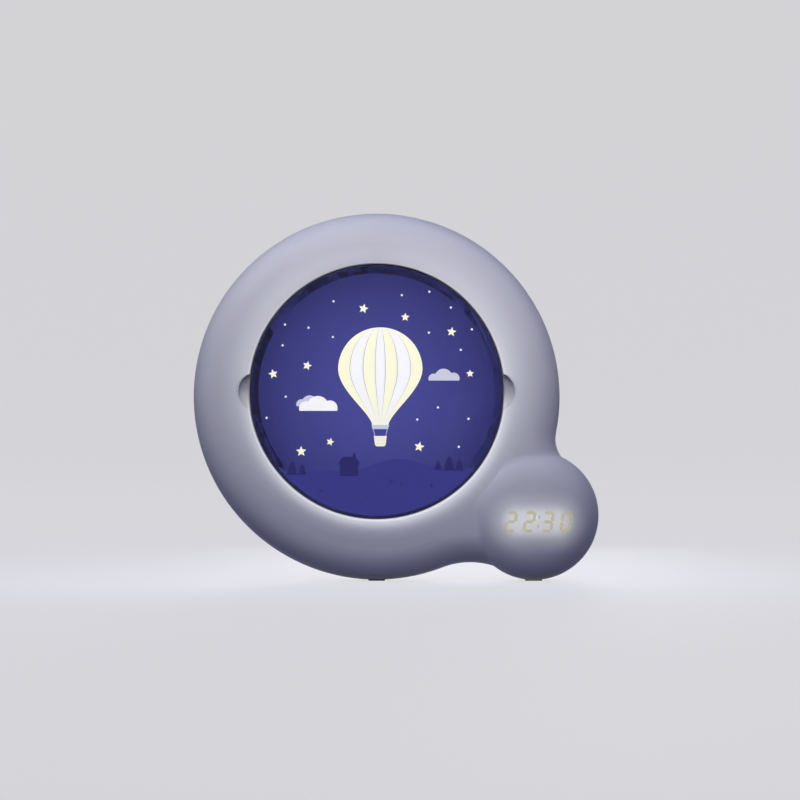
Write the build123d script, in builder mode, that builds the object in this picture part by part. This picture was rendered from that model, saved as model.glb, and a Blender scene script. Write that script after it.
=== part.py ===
"""Kids alarm clock with night light: a ring-shaped housing with a blended display lobe,
a lift-out picture disc lit from behind, and a battery and speaker compartment in the back.

Millimetres, +Z up, the front of the clock faces -Y.  Depths are measured from the parting
line of the two shells: positive towards the back, negative towards the front.
"""
from build123d import *
from math import asin, atan, cos, degrees, hypot, radians, sin, sqrt, tan
import os

os.makedirs("parts", exist_ok=True)

# ---------------------------------------------------------------- driving dimensions
# Housing outline, seen from the front
ring_radius = 100.0         # outer radius of the ring
lobe_radius = 35.3          # outer radius of the display lobe
lobe_reach = 85.8           # lobe axis, to the right of the ring axis
upper_blend = 16.0          # concave blend where ring and lobe meet on the right
lower_blend = 42.0          # concave blend where they meet underneath
lobe_step = 1.2             # the dome stands this far outside the blended outline
# Housing depth
front_height = 20.0         # parting line to the front of the ring
dome_height = 28.5          # parting line to the top of the display dome
back_height = 24.0          # parting line to the back face
wall = 2.4                  # moulded wall of both shells
front_round = 16.0          # outer rounding of the ring's front
back_round = 10.0           # outer rounding of the back
shoulder_round = 18.0       # rounding at the rim of the dome
crown_radius = 100.0        # flatter middle of the dome
seam_round = 5.0            # soft crease between ring and dome
line_groove = 0.35          # fine V groove along the parting line
tongue_height = 1.2         # tongue of the front shell in the rear shell
tongue_width = 1.1          # from the inside of the wall to the outside of the tongue
tongue_step = 0.2           # the tongue stands in from the inside of the wall
slip = 0.15                 # slip fit between moulded pieces that are assembled once
groove_clear = 1.0          # the tongue's groove is cut this far past the wall

# Opening for the picture disc
opening_radius = 69.5
opening_rise = 2.8          # the opening sits above the ring axis
lip_margin = 8.5            # the ring starts to roll in this far outside the opening
lip_width = 14.0
lip_depth = 10.0
mouth_round = 1.0           # small rounding where the roll meets the well
shelf_depth = 10.0          # front of the shelf that the disc rests on, before the parting line
shelf_thick = 2.0
shelf_width = 6.5
notch_radius = 11.0         # finger notches beside the disc
notch_inset = 5.3           # middle of a notch, inside the edge of the opening
notch_round = 4.0

# Picture disc
disc_play = 0.35            # radial play of the disc in its well
disc_lift = 0.3             # air between the disc and its shelf
cover_front = 14.2          # front of the clear cover, before the parting line
cover_thick = 1.6
cover_play = 0.1            # radial play of cover and film in the tray
cover_round = 0.4
film_thick = 0.25
tray_rim = 0.7              # rim of the tray round the cover
tray_ledge = 4.0            # ledge that carries the film, inside the rim
tray_round = 0.3

# Night light behind the disc
diffuser_thick = 1.5
box_wall = 1.5
box_floor = 1.6
box_cove = 4.0
box_play = 0.3
lamp_size = 3.2
lamp_height = 1.4
lamp_hole = 2.6
lamp_counts = (6, 12)       # lamps in the inner and the outer ring
lamp_inset = 18.0           # outer ring of lamps, inside the edge of its board
board_thick = 1.6
board_inset = 3.5           # edge of the lamp board, inside the opening
board_air = 0.6             # behind the lamp board
lug_radius = 4.0
lug_offset = 6.0            # screws of the lugs, outside the opening
lug_root = 12.0             # length of a lug inside the edge of the light box
lug_turn = 45.0
lug_count = 4

# Screws
screw_radius = 1.5
screw_play = 0.05           # radial air between a screw and its hole
screw_bite = 8.0            # thread in the front shell
head_radius = 2.8
head_height = 1.8
head_play = 0.4
cross_width = 0.9
cross_span = 1.3            # length of the cross in head radii
cross_depth = 1.0
small_screw_radius = 1.1
small_head_radius = 2.1
small_head_height = 1.2
small_screw_bite = 5.0
head_sink = 0.2             # heads in the door lie this far below its face
hole_rest = 1.6             # a blind hole runs on past the tip of its screw
boss_wall = 1.6
screw_shoulder = 6.0        # the heads sit this far behind the parting line
ring_screw_inset = 14.0     # inside the outer edge of the ring
ring_screw_turns = (15.0, 65.0, 115.0, 165.0, 215.0, 265.0)
lobe_screw_inset = 7.5      # inside the outer edge of the lobe
lobe_screw_turns = (-90.0, 45.0)
lamp_screw_inset = 8.0      # inside the edge of the lamp board
lamp_screw_turns = (30.0, 90.0, 150.0)

# Display in the lobe
digit_height = 11.3
digit_width = 6.1
digit_pitch = 10.0
digit_slant = 9.0           # degrees
segment_width = 1.2
segment_gap = 0.5
colon_rise = 2.55
colon_radius = 0.65
guide_width = 45.0
guide_height = 17.0
guide_corner = 1.5
guide_shift = (2.1, -3.1)   # middle of the display, from the lobe axis
guide_back = 14.0           # rear of the light guide, before the parting line
guide_gap = 0.2             # air under the dome
display_lamp = 0.8
time_shown = "2230"

# Controls in the back of the lobe
recess_radius = 24.0
recess_depth = 1.7
control_gap = 7.9           # inside of the panel to the control board
control_inset = 1.1         # edge of the control board, inside the edge of the recess
control_screw_inset = 5.4   # screws of the control board, inside the edge of the recess
button_radius = 4.5
button_play = 0.25
button_proud = 0.9
button_flange = 1.3         # the flange is wider than the cap by this much
flange_thick = 1.0
flange_gap = 0.2
stem_radius = 1.9
button_travel = 0.6
button_pitch_x = 15.0
button_pitch_z = 12.0
switch_size = 6.0
switch_height = 3.5
switch_bore = 1.5
slider_rise = 16.2          # slide switch above the lobe axis
slider_travel = 3.0
slider_knob = (3.4, 3.0)
slider_lever = 1.6
slider_body = (9.6, 5.2)
slider_height = 4.0
slider_play = 0.3
slider_lap = 0.6            # the flange reaches past the travel and past the slot
socket_drop = 16.4          # power socket below the lobe axis
socket_size = (9.0, 3.4)
socket_wall = 0.5
socket_play = 0.2
socket_sink = 0.7
socket_tongue = 1.0         # the contact tongue stands in from the mouth and from the sides
chip_size = 7.0
chip_height = 1.2

# Battery compartment and its door
cell_radius = 7.1
cell_length = 49.3
cell_nub = 1.2
cell_nub_radius = 2.75
cell_count = 3
cell_pitch = 14.8
cell_play = 0.2
spring_length = 4.4         # coil springs at the flat ends of the cells
spring_wire = 0.35          # radius of the wire
spring_root = 3.4           # radius of the coil at the contact
spring_tip = 2.2            # radius of the coil at the cell
spring_turns = 3.5
wire_sides = 12             # the wire's round section is cut into this many flats
bay_drop = 36.0             # middle of the bay below the ring axis
bay_wall = 1.6
door_thick = 2.4
door_rib = 1.6
door_margin = 2.0
door_play = 0.3
door_corner = 4.0
door_tab = 9.0
contact_thick = 0.4
contact_play = 0.1          # air at both ends of a cell, so that it lifts out
contact_width = 8.0

# Loudspeaker
speaker_rise = 28.0         # above the ring axis
speaker_radius = 20.0
speaker_flange = 1.5
speaker_depth = 14.0
speaker_plate = 1.0         # thickness of the basket's floor
basket_shoulder = 17.0      # radius where the basket leaves its flange
basket_mouth = 15.6         # inner radius of the basket at the panel
magnet_radius = 9.0
magnet_height = 5.4
magnet_chamfer = 0.8
cone_seat = 1.0             # edge of the cone, in from the mouth of the basket
cone_edge = 1.6             # flat surround of the cone
cone_depth = 4.4
cone_thick = 0.5
cap_radius = 4.5
cap_height = 1.5
grille_hole = 1.4
grille_rings = {6.0: 6, 12.0: 12}   # radius of each ring of grille holes, and its count

# Rubber feet
foot_height = 0.5
foot_width = 9.0
foot_spans = ((-6.5, -1.5), (1.5, 13.5))

# ---------------------------------------------------------------- shared frame
ring_x = (ring_radius - lobe_reach - lobe_radius) / 2
ring_z = ring_radius + foot_height
split_y = (dome_height - back_height) / 2
ring = Vector(0, 0)
opening = Vector(0, opening_rise)
lobe = Vector(lobe_reach, lobe_radius - ring_radius)
speaker = Vector(0, speaker_rise)
bay = Vector(0, -bay_drop)
back_inside = back_height - wall
lip_start = opening_radius + lip_margin
notch_reach = opening_radius - notch_inset
lamp_board_radius = opening_radius - board_inset
lug_reach = opening_radius + lug_offset
ring_screw_reach = ring_radius - ring_screw_inset
lobe_screw_reach = lobe_radius - lobe_screw_inset
lamp_screw_reach = lamp_board_radius - lamp_screw_inset
control_screw_reach = recess_radius - control_screw_inset


def face(depth):
    """Upright plane at a depth: x to the right, y up from the ring axis, normal to the front."""
    return Plane(origin=(ring_x, split_y + depth, ring_z), x_dir=(1, 0, 0), z_dir=(0, -1, 0))


def section(centre):
    """Half section through an axis: x is the radius, y is the depth."""
    return Plane(origin=(ring_x + centre.X, split_y, ring_z + centre.Y), x_dir=(1, 0, 0), z_dir=(0, 0, 1))


def axis(centre):
    """Axis through a centre, pointing to the front."""
    return Axis((ring_x + centre.X, split_y, ring_z + centre.Y), (0, -1, 0))


def around(centre, reach, turns):
    """Points at one distance from a centre, at the given angles."""
    return [centre + Vector(reach * cos(radians(turn)), reach * sin(radians(turn))) for turn in turns]


def discs(depth, radius, *centres):
    """Sketch of equal circles at a depth."""
    with BuildSketch(face(depth)) as sketch:
        with Locations(*centres):
            Circle(radius)
    return sketch.sketch


def plate(depth, width, height, *centres, corner=0.0):
    """Sketch of equal rectangles at a depth, with rounded corners if asked."""
    with BuildSketch(face(depth)) as sketch:
        with Locations(*centres):
            if corner:
                RectangleRounded(width, height, corner)
            else:
                Rectangle(width, height)
    return sketch.sketch


def slots(depth, width, height, *centres):
    """Sketch of equal slots with round ends at a depth."""
    with BuildSketch(face(depth)) as sketch:
        with Locations(*centres):
            SlotOverall(width, height)
    return sketch.sketch


def screws(centres, seat, length, shank, head, height, way=1):
    """Cross-head screws seated at a depth: driven from the back, or with way=-1 from the front."""
    top = seat + way * height
    with BuildPart() as group:
        extrude(discs(seat, shank, *centres), amount=way * length)
        extrude(discs(top, head, *centres), amount=way * height)
        with BuildSketch(face(top)):
            with Locations(*centres):
                Rectangle(head * cross_span, cross_width)
                Rectangle(cross_width, head * cross_span)
        extrude(amount=way * min(cross_depth, height - cross_width / 2), mode=Mode.SUBTRACT)
    return group.part


# ---------------------------------------------------------------- housing forms
def tangent_centres(first, second, blend):
    """Centres of the two circles that touch ring and lobe circles from outside."""
    near = first + blend
    far = second + blend
    along = (near**2 - far**2 + lobe.length**2) / (2 * lobe.length)
    aside = sqrt(near**2 - along**2)
    line = lobe.normalized()
    normal = Vector(-line.Y, line.X)
    return line * along + normal * aside, line * along - normal * aside


def outline(inset):
    """Ring and lobe joined by two concave blends, the whole drawn in by an inset."""
    big = ring_radius - inset
    small = lobe_radius - lobe_step - inset
    upper = tangent_centres(big, small, upper_blend + inset)[0]
    lower = tangent_centres(big, small, lower_blend + inset)[1]
    ring_top = upper.normalized() * big
    ring_low = lower.normalized() * big
    lobe_top = lobe + (upper - lobe).normalized() * small
    lobe_low = lobe + (lower - lobe).normalized() * small
    upper_mid = upper + (ring_top + lobe_top - upper * 2).normalized() * (upper_blend + inset)
    lower_mid = lower + (ring_low + lobe_low - lower * 2).normalized() * (lower_blend + inset)
    with BuildSketch() as sketch:
        with BuildLine():
            ThreePointArc(ring_top, Vector(-big, 0), ring_low)
            ThreePointArc(ring_low, lower_mid, lobe_low)
            ThreePointArc(lobe_low, lobe + lobe.normalized() * small, lobe_top)
            ThreePointArc(lobe_top, upper_mid, ring_top)
        make_face()
    return sketch.sketch


def rim(inset):
    """Outline of the shells at the parting line: the blended outline with the dome's circle."""
    with BuildSketch() as sketch:
        add(outline(inset))
        with Locations(lobe):
            Circle(lobe_radius - inset)
        corners = [corner for corner in sketch.vertices()
                   if abs((Vector(corner) - lobe).length - lobe_radius + inset) < 0.001]
        fillet(ShapeList(corners).sort_by_distance((0, 0, 0))[:2], seam_round + inset)
    return sketch.sketch


def dome(inset):
    """Display dome: straight side, round shoulder and flatter crown, turned about the lobe axis."""
    side = lobe_radius - inset
    shoulder = shoulder_round - inset
    crown = crown_radius - inset
    height = dome_height - inset
    lean = asin((side - shoulder) / (crown - shoulder))
    start = height - crown + (crown - shoulder) * cos(lean)
    with BuildPart() as part:
        with BuildSketch(section(lobe)):
            with BuildLine():
                edge = Polyline((0, -height), (0, 0), (side, 0), (side, -start))
                turn = JernArc(edge @ 1, (0, -1), shoulder, degrees(lean) - 90)
                JernArc(turn @ 1, turn % 1, crown, -degrees(lean))
            make_face()
        revolve(axis=axis(lobe))
    return part.part


def front_block(inset):
    """Solid front half of the housing, without its opening."""
    with BuildPart() as part:
        with BuildSketch(face(0)):
            add(outline(inset))
        extrude(amount=front_height - inset)
        fillet(part.faces().sort_by(Axis.Y)[0].edges(), front_round - inset)
        add(dome(inset))
        if not inset:
            fillet(seam_edges(part), seam_round)
    return part.part


def seam_edges(part):
    """Edges where the dome meets the ring: neither on the parting line nor on one form alone."""
    seam = ShapeList()
    for edge in part.edges():
        middle = edge @ 0.5
        reach = hypot(middle.X - ring_x - lobe.X, middle.Z - ring_z - lobe.Y)
        depth = middle.Y - split_y
        on_front = abs(depth + front_height) < 0.001 and reach < lobe_radius
        on_side = edge.geom_type == GeomType.LINE and abs(reach - lobe_radius) < 0.001
        if edge.geom_type == GeomType.BSPLINE or on_front or on_side:
            seam.append(edge)
    return seam


def lip_void(inset):
    """What the rolled inner lip leaves open: inside an elliptical quarter turned about the ring."""
    with BuildPart() as part:
        with BuildSketch(section(ring)):
            with BuildLine():
                roll = EllipticalCenterArc((lip_start, lip_depth - front_height), lip_width - inset,
                                           lip_depth - inset, start_angle=180, arc_size=90)
                front = -front_height - wall
                Polyline(roll @ 0, (0, (roll @ 0).Y), (0, front), (lip_start, front), roll @ 1)
            make_face()
        revolve(axis=axis(ring))
    return part.part


def notch_void(inset):
    """Two round finger notches, scooped at the bottom, level with the disc's shelf."""
    floor = inset - shelf_depth
    centres = (opening + Vector(notch_reach, 0), opening - Vector(notch_reach, 0))
    with BuildPart() as part:
        extrude(discs(floor, notch_radius + inset, *centres), amount=front_height + wall + floor)
        fillet(part.edges().group_by(Axis.Y)[-1], notch_round)
    return part.part


def front_cavity():
    """Hollow of the front shell, outside the disc well and the notches."""
    with BuildPart() as part:
        add(front_block(wall))
        add(lip_void(wall), mode=Mode.SUBTRACT)
        extrude(discs(0, opening_radius + wall, opening), amount=front_height, mode=Mode.SUBTRACT)
        add(notch_void(wall), mode=Mode.SUBTRACT)
    return part.part


ring_screws = around(ring, ring_screw_reach, ring_screw_turns)
lobe_screws = around(lobe, lobe_screw_reach, lobe_screw_turns)
lug_screws = around(opening, lug_reach, [lug_turn + n * 360 / lug_count for n in range(lug_count)])
shell_screw_places = ring_screws + lobe_screws
front_solid = front_block(0)
rim_face = front_solid.faces().sort_by(Axis.Y)[-1]

# ---------------------------------------------------------------- front shell
with BuildPart() as front_bosses:
    extrude(discs(0, screw_radius + screw_play + boss_wall, *shell_screw_places), amount=dome_height)
    extrude(discs(0, lug_radius, *lug_screws), amount=dome_height)
    add(front_block(wall / 2), mode=Mode.INTERSECT)
    add(lip_void(wall / 2), mode=Mode.SUBTRACT)
    extrude(discs(0, opening_radius + wall / 2, opening), amount=dome_height, mode=Mode.SUBTRACT)

with BuildPart() as front_shell:
    add(front_solid)
    chamfer(front_shell.faces().sort_by(Axis.Y)[-1].edges(), line_groove)
    add(lip_void(0), mode=Mode.SUBTRACT)
    extrude(discs(0, opening_radius, opening), amount=dome_height, mode=Mode.SUBTRACT)
    mouth = [edge for edge in front_shell.edges() if edge.geom_type == GeomType.BSPLINE]
    fillet(ShapeList(mouth).sort_by(Edge.length)[-1], mouth_round)
    add(notch_void(0), mode=Mode.SUBTRACT)
    add(front_cavity(), mode=Mode.SUBTRACT)
    with BuildSketch(face(shelf_thick - shelf_depth)):
        with Locations(opening):
            Circle(opening_radius + wall / 2)
            Circle(opening_radius - shelf_width, mode=Mode.SUBTRACT)
    extrude(amount=shelf_thick)
    add(front_bosses.part)
    extrude(discs(0, screw_radius + screw_play, *shell_screw_places),
            amount=screw_bite + hole_rest, mode=Mode.SUBTRACT)
    extrude(discs(0, small_screw_radius + screw_play, *lug_screws),
            amount=small_screw_bite + hole_rest, mode=Mode.SUBTRACT)
    with BuildSketch(face(tongue_height)):
        add(rim(wall - tongue_width))
        add(rim(wall - tongue_step), mode=Mode.SUBTRACT)
    extrude(amount=tongue_height)
front_shell.part.label = "front_shell"
export_step(front_shell.part, "parts/front_shell.step")

# ---------------------------------------------------------------- rear shell
panel_outside = back_height - recess_depth
panel_inside = panel_outside - wall
control_back = panel_inside - control_gap
door_seat = back_height - door_thick
door_screw_seat = back_height - small_head_height - head_sink
bay_height = cell_count * cell_pitch + 2 * cell_play
bay_floor = box_floor + board_thick + board_air
cell_depth = bay_floor + bay_wall + cell_play + cell_radius
bay_length = cell_length + cell_nub + spring_length + 2 * (contact_thick + contact_play)
door_length = bay_length + 2 * (bay_wall + door_tab)
door_height = bay_height + 2 * door_margin
tab_reach = bay_length / 2 + bay_wall + door_tab / 2
door_screw_places = [bay + Vector(side * tab_reach, 0) for side in (-1, 1)]
control_screw_places = [lobe + Vector(side * control_screw_reach, 0) for side in (-1, 1)]
button_places = {
    "hour_button": lobe + Vector(-button_pitch_x / 2, button_pitch_z / 2),
    "minute_button": lobe + Vector(button_pitch_x / 2, button_pitch_z / 2),
    "alarm_button": lobe + Vector(-button_pitch_x / 2, -button_pitch_z / 2),
    "light_button": lobe + Vector(button_pitch_x / 2, -button_pitch_z / 2),
}
slider_place = lobe + Vector(-slider_travel / 2, slider_rise)
slider_middle = lobe + Vector(0, slider_rise)
socket_place = lobe - Vector(0, socket_drop)
well_radius = head_radius + head_play
rear_boss_radius = well_radius + boss_wall
small_boss_radius = small_screw_radius + screw_play + boss_wall
grille_places = [speaker] + [
    place for reach, count in grille_rings.items()
    for place in around(speaker, reach, [n * 360 / count for n in range(count)])
]

with BuildPart() as rear_block:
    extrude(rim_face, amount=back_height)
    fillet(rear_block.faces().sort_by(Axis.Y)[-1].edges(), back_round)

with BuildPart() as rear_cavity:
    with BuildSketch(face(0)):
        add(rim(wall))
    extrude(amount=-back_inside)
    fillet(rear_cavity.faces().sort_by(Axis.Y)[-1].edges(), back_round - wall)

with BuildPart() as rear_fittings:
    extrude(discs(back_height, rear_boss_radius, *shell_screw_places), amount=back_height)
    extrude(plate(back_height, bay_length + 2 * bay_wall, bay_height + 2 * bay_wall, bay),
            amount=back_height - bay_floor)
    extrude(discs(back_height, small_boss_radius + boss_wall / 2, *door_screw_places),
            amount=back_height - bay_floor)
    extrude(plate(back_height, door_length + 2 * bay_wall, door_height + 2 * bay_wall, bay,
                  corner=door_corner + bay_wall), amount=door_thick + wall)
    with BuildSketch(face(back_height)):
        with Locations(speaker):
            Circle(speaker_radius + slip + boss_wall)
            Circle(speaker_radius + slip, mode=Mode.SUBTRACT)
    extrude(amount=wall + 2 * speaker_flange)
    extrude(discs(back_height, recess_radius + wall, lobe), amount=back_height - panel_inside)
    extrude(discs(back_height, small_boss_radius, *control_screw_places),
            amount=back_height - control_back)
    add(rear_block.part, mode=Mode.INTERSECT)

with BuildPart() as rear_shell:
    add(rear_block.part)
    chamfer(rear_shell.faces().sort_by(Axis.Y)[0].edges(), line_groove)
    add(rear_cavity.part, mode=Mode.SUBTRACT)
    add(rear_fittings.part)
    with BuildSketch(face(0)):
        add(rim(wall - tongue_width - slip))
        add(rim(wall + groove_clear), mode=Mode.SUBTRACT)
    extrude(amount=-tongue_height - slip, mode=Mode.SUBTRACT)
    extrude(discs(back_height, well_radius, *shell_screw_places),
            amount=back_height - screw_shoulder, mode=Mode.SUBTRACT)
    extrude(discs(back_height, screw_radius + screw_play, *shell_screw_places),
            amount=back_height, mode=Mode.SUBTRACT)
    extrude(plate(back_height, door_length, door_height, bay, corner=door_corner),
            amount=door_thick, mode=Mode.SUBTRACT)
    extrude(plate(back_height, bay_length, bay_height, bay),
            amount=back_height - bay_floor - bay_wall, mode=Mode.SUBTRACT)
    extrude(discs(back_height, small_screw_radius + screw_play, *door_screw_places),
            amount=door_thick + small_screw_bite + hole_rest, mode=Mode.SUBTRACT)
    extrude(discs(back_height, grille_hole, *grille_places), amount=2 * wall, mode=Mode.SUBTRACT)
    extrude(discs(back_height, recess_radius, lobe), amount=recess_depth, mode=Mode.SUBTRACT)
    extrude(discs(back_height, button_radius + button_play, *button_places.values()),
            amount=back_height - panel_inside, mode=Mode.SUBTRACT)
    extrude(plate(back_height, slider_knob[0] + slider_travel + 2 * slider_play,
                  slider_knob[1] + 2 * slider_play, slider_middle),
            amount=back_height - panel_inside, mode=Mode.SUBTRACT)
    extrude(slots(back_height, socket_size[0] + 2 * socket_play, socket_size[1] + 2 * socket_play,
                  socket_place), amount=back_height - panel_inside, mode=Mode.SUBTRACT)
    extrude(discs(control_back, small_screw_radius + screw_play, *control_screw_places),
            amount=-small_screw_bite - hole_rest, mode=Mode.SUBTRACT)
rear_shell.part.label = "rear_shell"
export_step(rear_shell.part, "parts/rear_shell.step")

shell_screws = screws(shell_screw_places, screw_shoulder, screw_shoulder + screw_bite,
                      screw_radius, head_radius, head_height)
shell_screws.label = "shell_screws"
export_step(shell_screws, "parts/shell_screws.step")

# ---------------------------------------------------------------- rubber feet
with BuildPart() as foot_pads:
    for front, back in foot_spans:
        with BuildSketch(Plane((ring_x, split_y + (front + back) / 2, 0))):
            with Locations((0, 0), (lobe.X, 0)):
                Rectangle(foot_width, back - front)
        extrude(amount=foot_height + wall)
    add(front_solid, mode=Mode.SUBTRACT)
    add(rear_block.part, mode=Mode.SUBTRACT)
foot_pads.part.label = "foot_pads"
export_step(foot_pads.part, "parts/foot_pads.step")

# ---------------------------------------------------------------- picture disc
disc_radius = opening_radius - disc_play
disc_back = shelf_depth + disc_lift
film_front = cover_front - cover_thick
film_back = film_front - film_thick
cover_radius = disc_radius - tray_rim - cover_play
ledge_radius = disc_radius - tray_rim - tray_ledge

with BuildPart() as disc_cover:
    extrude(discs(-film_front, cover_radius, opening), amount=cover_thick)
    fillet(disc_cover.edges().group_by(Axis.Y)[0], cover_round)
disc_cover.part.label = "disc_cover"
export_step(disc_cover.part, "parts/disc_cover.step")

with BuildPart() as picture_print:
    extrude(discs(-film_back, cover_radius, opening), amount=film_thick)
picture_print.part.label = "picture_print"
export_step(picture_print.part, "parts/picture_print.step")

with BuildPart() as disc_tray:
    with BuildSketch(section(opening)):
        with BuildLine():
            Polyline((ledge_radius, -disc_back), (disc_radius, -disc_back), (disc_radius, -cover_front),
                     (disc_radius - tray_rim, -cover_front), (disc_radius - tray_rim, -film_back),
                     (ledge_radius, -film_back), close=True)
        make_face()
    revolve(axis=axis(opening))
    fillet(disc_tray.edges().group_by(Axis.Y)[0].sort_by(Edge.length)[-1], tray_round)
disc_tray.part.label = "disc_tray"
export_step(disc_tray.part, "parts/disc_tray.step")

# ---------------------------------------------------------------- night light
shelf_back = shelf_depth - shelf_thick
box_radius = opening_radius - box_play
lamp_reach = lamp_board_radius - lamp_inset
lamp_places = [place for share, count in enumerate(lamp_counts, 1)
               for place in around(opening, lamp_reach * share / len(lamp_counts),
                                   [n * 360 / count for n in range(count)])]
lamp_screws = around(opening, lamp_screw_reach, lamp_screw_turns)
box_front = shelf_back - diffuser_thick

with BuildPart() as diffuser_plate:
    extrude(discs(-box_front, box_radius, opening), amount=diffuser_thick)
diffuser_plate.part.label = "diffuser_plate"
export_step(diffuser_plate.part, "parts/diffuser_plate.step")

with BuildPart() as box_hollow:
    extrude(discs(0, box_radius - box_wall, opening), amount=box_front)
    fillet(box_hollow.edges().group_by(Axis.Y)[-1], box_cove)

with BuildPart() as light_box:
    extrude(discs(box_floor, box_radius, opening), amount=box_floor + box_front)
    with BuildSketch(face(box_floor)):
        with Locations(opening):
            with PolarLocations(lug_reach + lug_radius - lug_root, lug_count, lug_turn):
                SlotOverall(2 * lug_root, 2 * lug_radius)
    extrude(amount=box_floor)
    add(box_hollow.part, mode=Mode.SUBTRACT)
    extrude(discs(box_floor, lamp_hole, *lamp_places), amount=box_floor, mode=Mode.SUBTRACT)
    extrude(discs(box_floor, small_screw_radius + screw_play, *lug_screws, *lamp_screws),
            amount=box_floor, mode=Mode.SUBTRACT)
light_box.part.label = "light_box"
export_step(light_box.part, "parts/light_box.step")

with BuildPart() as led_board:
    extrude(discs(box_floor + board_thick, lamp_board_radius, opening), amount=board_thick)
    extrude(discs(box_floor + board_thick, small_screw_radius + screw_play, *lamp_screws),
            amount=board_thick, mode=Mode.SUBTRACT)
led_board.part.label = "led_board"
export_step(led_board.part, "parts/led_board.step")

with BuildPart() as board_leds:
    extrude(plate(box_floor, lamp_size, lamp_size, *lamp_places), amount=lamp_height)
board_leds.part.label = "board_leds"
export_step(board_leds.part, "parts/board_leds.step")

# ---------------------------------------------------------------- display
segment_length = (digit_height - segment_width) / 2


def segment(length):
    """One segment of a digit, pointed at both ends so that neighbours meet at a mitre."""
    reach = (length - segment_gap) / 2
    half = segment_width / 2
    with BuildSketch() as sketch:
        with BuildLine():
            Polyline((-reach, 0), (half - reach, half), (reach - half, half),
                     (reach, 0), (reach - half, -half), (half - reach, -half), close=True)
        make_face()
    return sketch.sketch


def digit_cells(place):
    """The seven segments of a digit: middle of each and whether it stands upright."""
    side = (digit_width - segment_width) / 2
    rise = segment_length
    spots = {
        "top": (0, rise, False), "middle": (0, 0, False), "bottom": (0, -rise, False),
        "upper_left": (-side, rise / 2, True), "upper_right": (side, rise / 2, True),
        "lower_left": (-side, -rise / 2, True), "lower_right": (side, -rise / 2, True),
    }
    lean = tan(radians(digit_slant))
    return [(place + Vector(x + y * lean, y), upright) for x, y, upright in spots.values()]


display = lobe + Vector(*guide_shift)
digit_places = [display + Vector((n - 1.5) * digit_pitch, 0) for n in range(4)]
colon_lean = colon_rise * tan(radians(digit_slant))
colon_places = [display + Vector(side * colon_lean, side * colon_rise) for side in (-1, 1)]
segments = [cell for place in digit_places for cell in digit_cells(place)]
segment_places = [middle for middle, upright in segments] + colon_places

with BuildPart() as display_guide:
    extrude(plate(-guide_back, guide_width, guide_height, display, corner=guide_corner),
            amount=dome_height)
    add(dome(wall + guide_gap), mode=Mode.INTERSECT)
    with BuildSketch(face(-guide_back)):
        for middle, upright in segments:
            turn = 90 - digit_slant if upright else 0
            with Locations(Location((middle.X, middle.Y, 0), (0, 0, turn))):
                add(segment(segment_length if upright else digit_width - segment_width))
        with Locations(*colon_places):
            Circle(colon_radius)
    extrude(amount=dome_height, mode=Mode.SUBTRACT)
display_guide.part.label = "display_guide"
export_step(display_guide.part, "parts/display_guide.step")

with BuildPart() as display_board:
    extrude(plate(board_thick - guide_back, guide_width, guide_height, display, corner=guide_corner),
            amount=board_thick)
display_board.part.label = "display_board"
export_step(display_board.part, "parts/display_board.step")

with BuildPart() as display_leds:
    extrude(plate(-guide_back, display_lamp, display_lamp, *segment_places), amount=display_lamp)
display_leds.part.label = "display_leds"
export_step(display_leds.part, "parts/display_leds.step")

# ---------------------------------------------------------------- controls
with BuildPart() as control_board:
    extrude(discs(control_back, recess_radius - control_inset, lobe), amount=board_thick)
    extrude(discs(control_back, small_screw_radius + screw_play, *control_screw_places),
            amount=board_thick, mode=Mode.SUBTRACT)
control_board.part.label = "control_board"
export_step(control_board.part, "parts/control_board.step")

with BuildPart() as control_chip:
    extrude(plate(control_back - board_thick, chip_size, chip_size, lobe), amount=chip_height)
control_chip.part.label = "control_chip"
export_step(control_chip.part, "parts/control_chip.step")

switch_top = control_back + switch_height
with BuildPart() as tact_switches:
    extrude(plate(switch_top, switch_size, switch_size, *button_places.values()), amount=switch_height)
    extrude(discs(switch_top, stem_radius + button_play, *button_places.values()),
            amount=switch_bore, mode=Mode.SUBTRACT)
tact_switches.part.label = "tact_switches"
export_step(tact_switches.part, "parts/tact_switches.step")

flange_back = panel_inside - flange_gap
stem_end = switch_top - flange_gap - button_play
for name, place in button_places.items():
    with BuildPart() as button:
        extrude(discs(panel_outside + button_proud, button_radius, place),
                amount=panel_outside + button_proud - flange_back)
        fillet(button.edges().group_by(Axis.Y)[-1], button_proud / 2)
        extrude(discs(flange_back, button_radius + button_flange, place), amount=flange_thick)
        extrude(discs(flange_back, stem_radius, place), amount=flange_back - stem_end)
    button.part.label = name
    export_step(button.part, f"parts/{name}.step")

slider_top = control_back + slider_height
slot_length = slider_lever + slider_travel + 2 * slider_play
with BuildPart() as alarm_switch_body:
    extrude(plate(slider_top, *slider_body, slider_middle), amount=slider_height)
    extrude(plate(slider_top, slot_length, slider_lever + 2 * slider_play, slider_middle),
            amount=slider_height / 2, mode=Mode.SUBTRACT)
alarm_switch_body.part.label = "alarm_switch_body"
export_step(alarm_switch_body.part, "parts/alarm_switch_body.step")

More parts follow.
